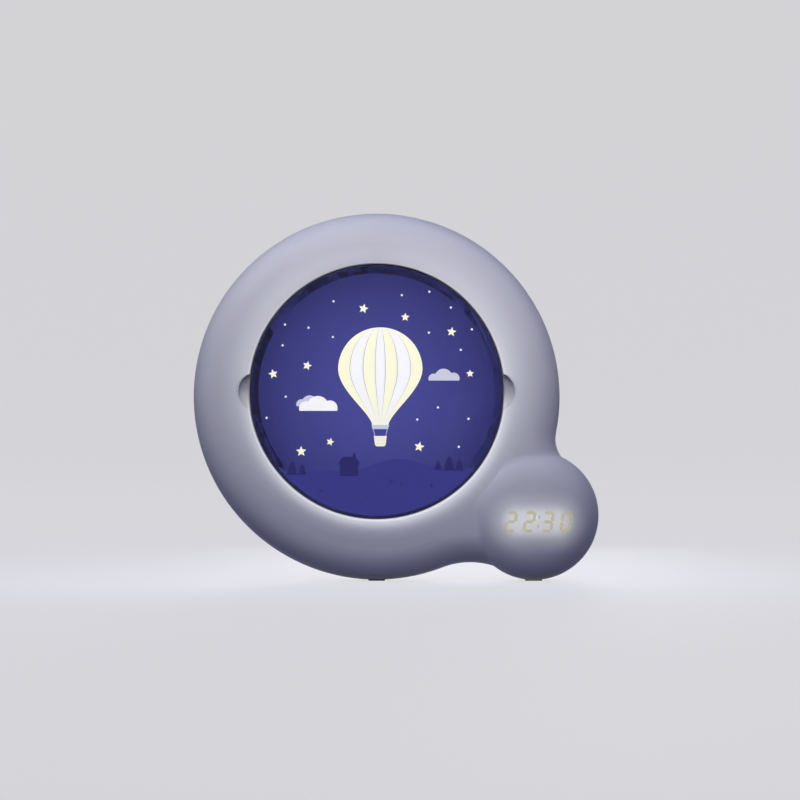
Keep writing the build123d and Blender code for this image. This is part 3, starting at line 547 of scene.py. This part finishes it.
# %% Cover
def make_cover():
    material, tree, shader = new_finish("clear_cover", moulded, 0.06, 0.0001, Colour=(1, 1, 1, 1), Drift=0.0,
                                        Rubbing=0.02, constants={"Transmission Weight": 1.0, "IOR": 1.3})
    clear = tree.nodes.new("ShaderNodeBsdfTransparent")
    path = tree.nodes.new("ShaderNodeLightPath").outputs
    form = tree.nodes.new("ShaderNodeNewGeometry").outputs
    bump = shader.inputs["Normal"].links[0].from_node
    tree.links.new(form["True Normal"], bump.inputs["Normal"])
    choice = tree.nodes.new("ShaderNodeMixShader")
    unseen = calc(tree, "MAXIMUM", path["Is Shadow Ray"], path["Is Diffuse Ray"])
    tree.links.new(calc(tree, "MAXIMUM", unseen, form["Backfacing"]), choice.inputs[0])
    tree.links.new(shader.outputs[0], choice.inputs[1])
    tree.links.new(clear.outputs[0], choice.inputs[2])
    tree.links.new(choice.outputs[0], tree.nodes["Material Output"].inputs["Surface"])
    return material


dress(make_cover(), "disc_cover")


# %% [markdown]
# ## The printed picture
#
# The print shows a hot-air balloon with two clouds over low hills, and a scatter of stars. Real
# ink is a few hundredths of a millimetre thick. It could be a pattern in the film's shader, but
# shapes with sharp borders are simpler as geometry: each patch of ink is a thin closed slab just
# in front of the film. Patches that overlap lie in different layers.

# %% Inks
def make_ink(name, colour, glow=0.8, body=0.4):
    """Ink that lets part of the lamp's light through and reflects part of the room's."""
    base = tuple(channel * body for channel in colour[:3]) + (1.0,)
    return new_finish(name, moulded, 0.5, 0.004, Colour=base, Drift=0.06, Grain=3000.0,
                      constants={"Emission Color": colour, "Emission Strength": glow,
                                 "Specular IOR Level": 0.1})[0]


inks = {
    "cream": make_ink("ink_cream", srgb(250, 248, 214)),
    "white": make_ink("ink_white", srgb(244, 244, 246)),
    "shade": make_ink("ink_shade", srgb(196, 200, 216)),
    "hill": make_ink("ink_hill", srgb(44, 44, 118), glow=1.0, body=0.3),
    "dusk": make_ink("ink_dusk", srgb(27, 26, 90), glow=1.0, body=0.3),
}
print("inks:", sorted(inks))


# %% [markdown]
# Every patch starts as a flat face in the film's plane, in millimetres from the disc's middle.
# `add_face` makes one from a few corners, and `add_round` from a circle. `close_patch` then
# extrudes all faces by the ink's thickness, scales them and moves them to their layer. Each face
# inside one patch is a hair further out than the one before it, so none lie in one plane.

# %% Flat faces
HAIR = 0.002                # millimetres between the faces of one patch


def add_face(patch, corners):
    lift = -HAIR * len(patch.faces)
    return patch.faces.new([patch.verts.new((x, lift, z)) for x, z in corners])


def add_round(patch, x, z, wide, tall, steps=40, warp=None):
    """An ellipse, or what a warp makes of it."""
    lift = -HAIR * len(patch.faces)
    made = bmesh.ops.create_circle(patch, cap_ends=True, segments=steps, radius=1.0)["verts"]
    for vert in made:
        across, up = vert.co.x, vert.co.y
        if warp:
            across, up = warp(across, up)
        vert.co = Vector((x + across * wide, lift, z + up * tall))
    return made


# %% Closed slabs
INK_LAYER = 0.02 * mm
INK_THICK = 0.012 * mm


def add_piece(name, mesh, material, body):
    """Turns a finished bmesh into a piece that rides on a body."""
    bmesh.ops.recalc_face_normals(mesh, faces=mesh.faces)
    loose = sum(len(edge.link_faces) != 2 for edge in mesh.edges)
    data = bpy.data.meshes.new(name)
    mesh.to_mesh(data)
    mesh.free()
    data.materials.append(material)
    made = bpy.data.objects.new(name, data)
    bpy.context.scene.collection.objects.link(made)
    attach(made, body)
    print(name, len(data.polygons), "faces,", loose, "open edges")


def close_patch(name, ink, patch, layer):
    grown = bmesh.ops.extrude_face_region(patch, geom=patch.faces[:])["geom"]
    bmesh.ops.translate(patch, verts=[item for item in grown if isinstance(item, bmesh.types.BMVert)],
                        vec=(0, -INK_THICK / mm, 0))
    bmesh.ops.scale(patch, verts=patch.verts, vec=(mm, mm, mm))
    bmesh.ops.translate(patch, verts=patch.verts,
                        vec=(disc_centre.x, film_low.y - layer * INK_LAYER, disc_centre.z))
    add_piece(name, patch, inks[ink], "disc")


# %% [markdown]
# The ground fills the film below a wavy crest. A full circle is cut level at the crest, the cut
# edge is divided, and its points are moved up and down. The waves are sums of sines, because a
# crest drawn by hand would need many points.

# %% Ground
FAR_LEVEL, NEAR_LEVEL = -41, -52        # heights from the disc's middle, in millimetres
FILM_BORDER = 0.6                       # unprinted rim of the film
CREST_CUTS = 71
CREST_EASE = 6                          # the waves die down over this length at both ends
TOUCH = 0.001                           # distances under this count as none


def far_crest(x):
    return FAR_LEVEL + 3.2 * math.sin(x / 15 + 0.6) + 1.2 * math.sin(x / 6.5)


def near_crest(x):
    return NEAR_LEVEL + 3.0 * math.sin(x / 19 - 1.2) - 0.9 * math.sin(x / 7.5)


def print_ground(name, crest, level, layer):
    patch = bmesh.new()
    reach = film_radius / mm - FILM_BORDER
    add_round(patch, 0, 0, reach, reach, 128)
    bmesh.ops.bisect_plane(patch, geom=patch.verts[:] + patch.edges[:] + patch.faces[:],
                           plane_co=(0, 0, level), plane_no=(0, 0, 1), clear_outer=True)
    cut = [edge for edge in patch.edges if all(abs(vert.co.z - level) < TOUCH for vert in edge.verts)]
    width = max(vert.co.x for edge in cut for vert in edge.verts)
    bmesh.ops.subdivide_edges(patch, edges=cut, cuts=CREST_CUTS)
    for vert in patch.verts:
        if abs(vert.co.z - level) < TOUCH:
            ease = min(1.0, (width - abs(vert.co.x)) / CREST_EASE)
            vert.co.z = level + (crest(vert.co.x) - level) * ease
    close_patch(name, "hill", patch, layer)


print_ground("far_hills", far_crest, FAR_LEVEL, 0)
print_ground("near_hills", near_crest, NEAR_LEVEL, 2)

# %% [markdown]
# A print like this has a few dark shapes on the hills that give them their scale. Trees with real
# outlines would be lost at this size, so a fir is three stacked triangles, the farm house has a
# wall, a roof and a chimney, and a tuft of grass is three blades.

# %% Firs
firs = bmesh.new()
for x, tall in ((-46, 9.5), (-40.5, 7), (33.5, 6.5), (39.5, 10), (45, 8)):
    foot = far_crest(x) - 1.5
    for share, size in ((0.0, 0.34), (0.26, 0.28), (0.5, 0.21)):
        half, low = tall * size, foot + tall * share
        add_face(firs, ((x - half, low), (x + half, low), (x, low + tall * (1 - share) * 0.62)))
close_patch("fir_trees", "dusk", firs, 1)

# %% Farm house
house = bmesh.new()
house_x, house_z = -15, far_crest(-15)
wall = ((-5, -3), (5, -3), (5, 3.6), (-5, 3.6))
roof = ((-6.3, 3.3), (6.3, 3.3), (3.6, 7.6), (-3.6, 7.6))
chimney = ((2.0, 6.8), (3.6, 6.8), (3.6, 9.4), (2.0, 9.4))
for outline in (wall, roof, chimney):
    add_face(house, [(house_x + x, house_z + z) for x, z in outline])
close_patch("farm_house", "dusk", house, 1)

# %% Grass
grass = bmesh.new()
for x, z in ((-30, -54.5), (8, -49.5), (13.5, -50.5), (30, -51.5), (-6, -58)):
    for lean in (-1.3, 0.0, 1.3):
        add_face(grass, ((x - 0.35, z - 0.6), (x + 0.35, z - 0.6), (x + lean, z + 2.4 - abs(lean) * 0.5)))
close_patch("grass_tufts", "dusk", grass, 3)


# %% [markdown]
# A cloud in a print is a few round puffs with a level base. It could be drawn as one outline, but
# circles laid over each other are easier to move. The part below the base is cut away.

# %% Clouds
def print_cloud(name, ink, x, z, puffs, layer):
    """Puffs are pairs of a place along the base and a radius."""
    patch = bmesh.new()
    for place, radius in puffs:
        add_round(patch, x + place, z + radius * 0.35, radius, radius)
    bmesh.ops.bisect_plane(patch, geom=patch.verts[:] + patch.edges[:] + patch.faces[:],
                           plane_co=(0, 0, z), plane_no=(0, 0, -1), clear_outer=True)
    close_patch(name, ink, patch, layer)


print_cloud("left_cloud_back", "shade", -37, -8, ((-4, 2.8), (0.5, 4.4), (5, 3.0)), 1)
print_cloud("left_cloud", "white", -32, -10.5, ((-6.5, 3.8), (0, 6.0), (6.5, 4.2)), 2)
print_cloud("right_cloud", "shade", 36, 6, ((-5, 2.8), (0.5, 4.8), (6, 3.2)), 1)


# %% [markdown]
# The balloon's envelope is a circle whose lower half is drawn down and in to the mouth. A real one
# is sewn from gores that all run from the crown to the mouth, so the same shape is laid down again
# and again, narrower each time, in turns of two inks with a thin seam between.

# %% Balloon
BALLOON_X, BALLOON_Z = 2.0, 12.0
BALLOON_RADIUS = 23.0
DRAW_DOWN = 1.34            # the lower half's height, in radii
DRAW_IN = 1.7               # how late the lower half narrows
MOUTH = 0.19                # half the mouth's width, in radii
GORES = (("balloon_outer_gores", "cream", 1.0), ("balloon_outer_seams", "shade", 0.735),
         ("balloon_middle_gores", "white", 0.71), ("balloon_inner_seams", "shade", 0.425),
         ("balloon_inner_gores", "cream", 0.395), ("balloon_centre_seams", "shade", 0.135),
         ("balloon_centre_gore", "white", 0.105))


def teardrop(across, up):
    if up >= 0:
        return across, up
    pull = (-up) ** DRAW_IN
    return across * (1 - pull) + math.copysign(MOUTH, across) * pull * (abs(across) > TOUCH), up * DRAW_DOWN


for layer, (name, ink, narrow) in enumerate(GORES, 2):
    gore = bmesh.new()
    add_round(gore, BALLOON_X, BALLOON_Z, BALLOON_RADIUS * narrow, BALLOON_RADIUS, 72, teardrop)
    close_patch(name, ink, gore, layer)

# %% [markdown]
# Below the mouth hang a skirt, two ropes and a wicker basket. They are so small in the print that
# a few corners each say enough. Their corners are measured from the mouth, so they follow the
# balloon.

# %% Skirt, ropes and basket
mouth_z = BALLOON_Z - BALLOON_RADIUS * DRAW_DOWN


def hang(patch, corners, side=1):
    add_face(patch, [(BALLOON_X + side * x, mouth_z + z) for x, z in corners])


skirt = bmesh.new()
hang(skirt, ((-4.2, -1.6), (4.2, -1.6), (4.9, 0.7), (-4.9, 0.7)))
close_patch("balloon_skirt", "shade", skirt, 9)
ropes = bmesh.new()
for side in (-1, 1):
    hang(ropes, ((3.7, -1.6), (4.0, -1.6), (3.0, -5.6), (2.7, -5.6)), side)
close_patch("balloon_ropes", "shade", ropes, 2)
basket = bmesh.new()
hang(basket, ((-3.5, -5.4), (-2.9, -10.2), (-2.2, -11), (2.2, -11), (2.9, -10.2), (3.5, -5.4)))
close_patch("balloon_basket", "cream", basket, 3)
weave = bmesh.new()
for band in (-6.3, -7.9, -9.5):
    half = 3.3 + (band + 5.4) * 0.12
    hang(weave, ((-half, band), (half, band), (half, band - 0.35), (-half, band - 0.35)))
close_patch("basket_weave", "shade", weave, 4)

# %% [markdown]
# The stars are scattered with room between them and clear of the balloon and the clouds. Places
# picked by hand look stiff, so a seeded draw picks them, and the same ones each time. A big star
# is a ten-sided circle with every second corner pulled in, and a small one is a plain dot.

# %% Places of the stars
STARS, BIG_STARS = 26, 9
SKY_HALF, SKY_LOW, SKY_HIGH = 60, -34, 60
RIM_ROOM, STAR_ROOM, BASKET_ROOM = 6, 11, 12
CLEARINGS = ((BALLOON_X, BALLOON_Z, 28), (-34, -7, 15), (36, 8, 12))    # balloon and clouds, with their room
picker = random.Random(11)
sky = []
while len(sky) < STARS:
    x, z = picker.uniform(-SKY_HALF, SKY_HALF), picker.uniform(SKY_LOW, SKY_HIGH)
    in_clearing = any(math.hypot(x - a, z - b) < room for a, b, room in CLEARINGS)
    below_balloon = abs(x - BALLOON_X) < BASKET_ROOM and z < BALLOON_Z
    crowded = any(math.hypot(x - a, z - b) < STAR_ROOM for a, b in sky)
    if math.hypot(x, z) < film_radius / mm - RIM_ROOM and not (in_clearing or below_balloon or crowded):
        sky.append((x, z))
print("stars:", len(sky))

# %% Stars
STAR_WAIST = 0.45           # the inner corners' radius, as a share of the outer ones'


def add_star(patch, x, z, size, turn):
    corners = add_round(patch, 0, 0, size, size, 10)
    for n, vert in enumerate(corners):
        if n % 2:
            vert.co.x *= STAR_WAIST
            vert.co.z *= STAR_WAIST
    spin = Matrix.Rotation(math.radians(turn), 3, "Y")
    bmesh.ops.rotate(patch, verts=corners, cent=(0, 0, 0), matrix=spin)
    bmesh.ops.translate(patch, verts=corners, vec=(x, 0, z))


big_stars = bmesh.new()
for x, z in sky[:BIG_STARS]:
    add_star(big_stars, x, z, picker.uniform(2.1, 3.0), picker.uniform(-20, 20))
close_patch("big_stars", "cream", big_stars, 1)
small_stars = bmesh.new()
for x, z in sky[BIG_STARS:]:
    add_round(small_stars, x, z, 0.6, 0.6, 12)
close_patch("small_stars", "white", small_stars, 1)


# %% [markdown]
# ## The lit figures
#
# The display shows 22:30 in slanted seven-segment figures that shine through the plastic, so their
# borders are soft. Each segment starts as a flat bar with pointed ends. An inset splits it into a
# core and a skirt, and a number stored on the points, 1 in the core and 0 at the border, fades it
# out. The bars are then laid on the dome: a ray from the front finds the shell under each point.

# %% Sizes of the figures
FIGURE_TALL = 11.3 * mm
FIGURE_WIDE = 6.1 * mm
FIGURE_PITCH = 10.0 * mm
STROKE = 1.45 * mm
STRETCH = 0.1 * mm          # how much longer a bar is than its place
FADE = 0.5 * mm
TILE_LIFT = 0.05 * mm
TILE_STEP = 0.003 * mm      # between the bars of one figure, which overlap at their ends
TILE_THICK = 0.15 * mm
COLON_RISE = 2.55 * mm
COLON_RADIUS = 0.65 * mm
LEAN = math.tan(math.radians(9))
SHOWN = "2230"
SEGMENTS = {"2": "abged", "3": "abgcd", "0": "abcdef"}
RAY_START = shell_front - 10 * mm
shell_skin = BVHTree.FromObject(nodes["front_shell"], bpy.context.evaluated_depsgraph_get())


def skin_y(x, z):
    """Where a ray from the front meets the shell."""
    return shell_skin.ray_cast(Vector((x, RAY_START, z)), Vector((0, 1, 0)))[0].y


print("dome at the figures, in mm:", round(skin_y(figures_centre.x, figures_centre.z) / mm, 2))


# %% Soft tiles
def soften(tiles, core, face):
    """Turns a flat face into a closed tile with a faded border."""
    face.normal_update()
    border = bmesh.ops.inset_individual(tiles, faces=[face], thickness=2 * FADE,
                                        use_even_offset=True)["faces"]
    for vert in face.verts:
        vert[core] = 1.0
    grown = bmesh.ops.extrude_face_region(tiles, geom=[face] + border)["geom"]
    bmesh.ops.translate(tiles, verts=[item for item in grown if isinstance(item, bmesh.types.BMVert)],
                        vec=(0, TILE_THICK, 0))


def add_bar(tiles, core, x, z, turn, length, lift):
    """A segment with pointed ends, in the plane that faces the front."""
    half, reach = STROKE / 2 + FADE, length / 2 + FADE
    corners = ((-reach, 0), (half - reach, half), (reach - half, half),
               (reach, 0), (reach - half, -half), (half - reach, -half))
    points = [Matrix.Rotation(turn, 2) @ Vector(corner) for corner in corners]
    soften(tiles, core, tiles.faces.new([tiles.verts.new((x + p.x, -lift, z + p.y)) for p in points]))


# %% Four figures
tiles = bmesh.new()
core = tiles.verts.layers.float.new("core")
side = (FIGURE_WIDE - STROKE) / 2
rise = (FIGURE_TALL - STROKE) / 2
spots = {"a": (0, rise, False), "g": (0, 0, False), "d": (0, -rise, False),
         "f": (-side, rise / 2, True), "b": (side, rise / 2, True),
         "e": (-side, -rise / 2, True), "c": (side, -rise / 2, True)}
for place, sign in enumerate(SHOWN):
    middle = figures_centre.x + (place - 1.5) * FIGURE_PITCH
    for order, letter in enumerate(SEGMENTS[sign]):
        across, up, upright = spots[letter]
        length = (rise if upright else 2 * side) + STRETCH
        turn = math.pi / 2 - math.atan(LEAN) if upright else 0.0
        add_bar(tiles, core, middle + across + up * LEAN, figures_centre.z + up, turn, length,
                TILE_LIFT + order * TILE_STEP)
print("bars:", sum(len(SEGMENTS[sign]) for sign in SHOWN))

# %% The colon, and all of it laid on the dome
for up in (-COLON_RISE, COLON_RISE):
    dot = bmesh.ops.create_circle(tiles, cap_ends=True, segments=16, radius=COLON_RADIUS + FADE,
                                  matrix=Matrix.Rotation(math.pi / 2, 4, "X"))["verts"]
    bmesh.ops.translate(tiles, verts=dot,
                        vec=(figures_centre.x + up * LEAN, -TILE_LIFT, figures_centre.z + up))
    soften(tiles, core, dot[0].link_faces[0])
for vert in tiles.verts:
    vert.co.y += skin_y(vert.co.x, vert.co.z)
print("figures in mm:", round((max(v.co.x for v in tiles.verts) - min(v.co.x for v in tiles.verts)) / mm, 1))

# %% [markdown]
# The figures' lamps are amber, and the white plastic over them washes their light out. The stored
# number drives the tiles' alpha, which could also be painted or drawn with a pattern, but the
# points already know where the border is.

# %% Warm light of the figures
FIGURE_ALPHA = 0.85


def make_figure_light():
    constants = {"Emission Color": srgb(172, 164, 126), "Emission Strength": 0.8, "Specular IOR Level": 0.3}
    material, tree, shader = new_finish("figure_light", moulded, 0.5, 0.004, Colour=srgb(148, 142, 118),
                                        Drift=0.1, constants=constants)
    stored = tree.nodes.new("ShaderNodeAttribute")
    stored.attribute_name = "core"
    tree.links.new(ramp(tree, stored.outputs["Fac"], 0.0, 1.0, 0.0, FIGURE_ALPHA), shader.inputs["Alpha"])
    return material


add_piece("shown_time", tiles, make_figure_light(), "housing")


# %% [markdown]
# ## Studio
#
# The clock stands on a pale round sweep that curves up into a wall on all sides, so every view has
# the same backdrop. A profile is spun round the clock to make it. The sweep is shown paler to the
# camera, in reflections and through glass by a glow that other rays don't see, so it doesn't light
# the clock.

# %% Sweep
SWEEP_FLAT, SWEEP_BEND, SWEEP_TALL = 3.4, 1.2, 3.2      # metres
BEND_STEP = 6               # degrees


def make_sweep():
    mesh = bmesh.new()
    bend = [math.radians(turn) for turn in range(0, 91, BEND_STEP)]
    line = [(0.0, 0.0), (0.8, 0.0), (1.8, 0.0)]
    line += [(SWEEP_FLAT + SWEEP_BEND * math.sin(turn), SWEEP_BEND * (1 - math.cos(turn))) for turn in bend]
    line.append((SWEEP_FLAT + SWEEP_BEND, SWEEP_TALL))
    verts = [mesh.verts.new((r, 0, z)) for r, z in line]
    edges = [mesh.edges.new(pair) for pair in zip(verts, verts[1:])]
    bmesh.ops.spin(mesh, geom=verts + edges, cent=(0, 0, 0), axis=(0, 0, 1), angle=2 * math.pi, steps=96,
                   use_merge=True)
    bmesh.ops.remove_doubles(mesh, verts=mesh.verts, dist=1 * mm)
    data = bpy.data.meshes.new("studio_sweep")
    mesh.to_mesh(data)
    mesh.free()
    data.shade_smooth()
    made = bpy.data.objects.new("studio_sweep", data)
    bpy.context.scene.collection.objects.link(made)
    print("sweep:", len(data.polygons), "faces")
    return made


# %% Sweep's paint
SWEEP_GLOW = 0.8


def make_sweep_paint():
    constants = {"Emission Color": srgb(232, 231, 228), "Specular IOR Level": 0.1}
    material, tree, shader = new_finish("sweep_paint", moulded, 0.8, 0.1, Colour=srgb(112, 116, 150),
                                        Drift=0.01, Grain=300.0, Cloud=2.0, constants=constants)
    path = tree.nodes.new("ShaderNodeLightPath").outputs
    seen = calc(tree, "MAXIMUM", path["Is Camera Ray"],
                calc(tree, "MAXIMUM", path["Is Glossy Ray"], path["Is Transmission Ray"]))
    tree.links.new(calc(tree, "MULTIPLY", seen, SWEEP_GLOW), shader.inputs["Emission Strength"])
    return material


studio_sweep = make_sweep()
studio_sweep.data.materials.append(make_sweep_paint())


# %% [markdown]
# The key lamp hangs in front of the clock and points at the top of the ring, so the clock is
# bright above and dark below. A lamp on the left and a weak one on the right soften the sides, a
# small one shines down on the lobe, and one overhead draws the ring's upper edge. One straight
# behind lights the back, in a narrow beam that leaves no bright rim round the front. A dim blue
# air on all sides fills the shadows.

# %% Lamps
def soft_lamp(name, power, place, target, size, spread):
    """A flat lamp that points at its target. The power is in watts and the spread in degrees."""
    data = bpy.data.lights.new(name, "AREA")
    data.shape = "RECTANGLE"
    data.size, data.size_y = size
    data.spread = math.radians(spread)
    data.energy = power
    lamp = bpy.data.objects.new(name, data)
    lamp.location = place
    lamp.rotation_euler = (Vector(target) - Vector(place)).to_track_quat("-Z", "Y").to_euler()
    lamp.visible_camera = False
    bpy.context.scene.collection.objects.link(lamp)
    print(name, power, "W")


soft_lamp("key_lamp", 0.156, place=(0, -0.5, 0.3), target=(0, 0, 0.21), size=(0.25, 0.12), spread=60)
soft_lamp("left_lamp", 0.235, place=(-0.25, -0.2, 0.4), target=(-0.05, 0, 0.16), size=(0.2, 0.2), spread=120)
soft_lamp("right_lamp", 0.01, place=(0.3, -0.3, 0.3), target=(0.09, 0, 0.13), size=(0.12, 0.12), spread=45)
soft_lamp("lobe_lamp", 0.011, place=(0.1, -0.25, 0.4), target=(0.075, 0, 0.05), size=(0.12, 0.12), spread=40)
soft_lamp("top_lamp", 0.07, place=(0, 0.05, 0.6), target=(0, 0, 0.1), size=(0.3, 0.2), spread=120)
soft_lamp("back_lamp", 0.16, place=(0.05, 0.9, 0.16), target=(0, 0, 0.1), size=(0.3, 0.2), spread=45)

# %% Air
AIR_TINT = (0.3, 0.37, 1.0, 1)
AIR_STRENGTH = 0.3
world = bpy.data.worlds.new("studio_air")
world.use_nodes = True
world.node_tree.nodes["Background"].inputs["Color"].default_value = AIR_TINT
world.node_tree.nodes["Background"].inputs["Strength"].default_value = AIR_STRENGTH
bpy.context.scene.world = world
bpy.context.scene.view_settings.view_transform = "Standard"

# %% [markdown]
# The camera looks straight at the clock from far away with a long lens, as catalogue pictures are
# taken. The lens follows from the width that the picture shows, so the framing could be changed
# without moving the camera.

# %% Camera
CAMERA_AWAY = 3.0
CAMERA_X, CAMERA_Z = 2.2 * mm, 98.7 * mm        # the point that the view is centred on
VIEW_WIDE = 0.4378                              # metres across the view, at the parting line
SENSOR = 36                                     # millimetres
camera_data = bpy.data.cameras.new("camera")
camera_data.sensor_width = SENSOR
camera_data.lens = SENSOR * (CAMERA_AWAY + parting_y) / VIEW_WIDE
camera = bpy.data.objects.new("camera", camera_data)
camera.location = (CAMERA_X, -CAMERA_AWAY, CAMERA_Z)
camera.rotation_euler = (math.pi / 2, 0, 0)
bpy.context.scene.collection.objects.link(camera)
bpy.context.scene.camera = camera
print("lens in mm:", round(camera_data.lens, 1))
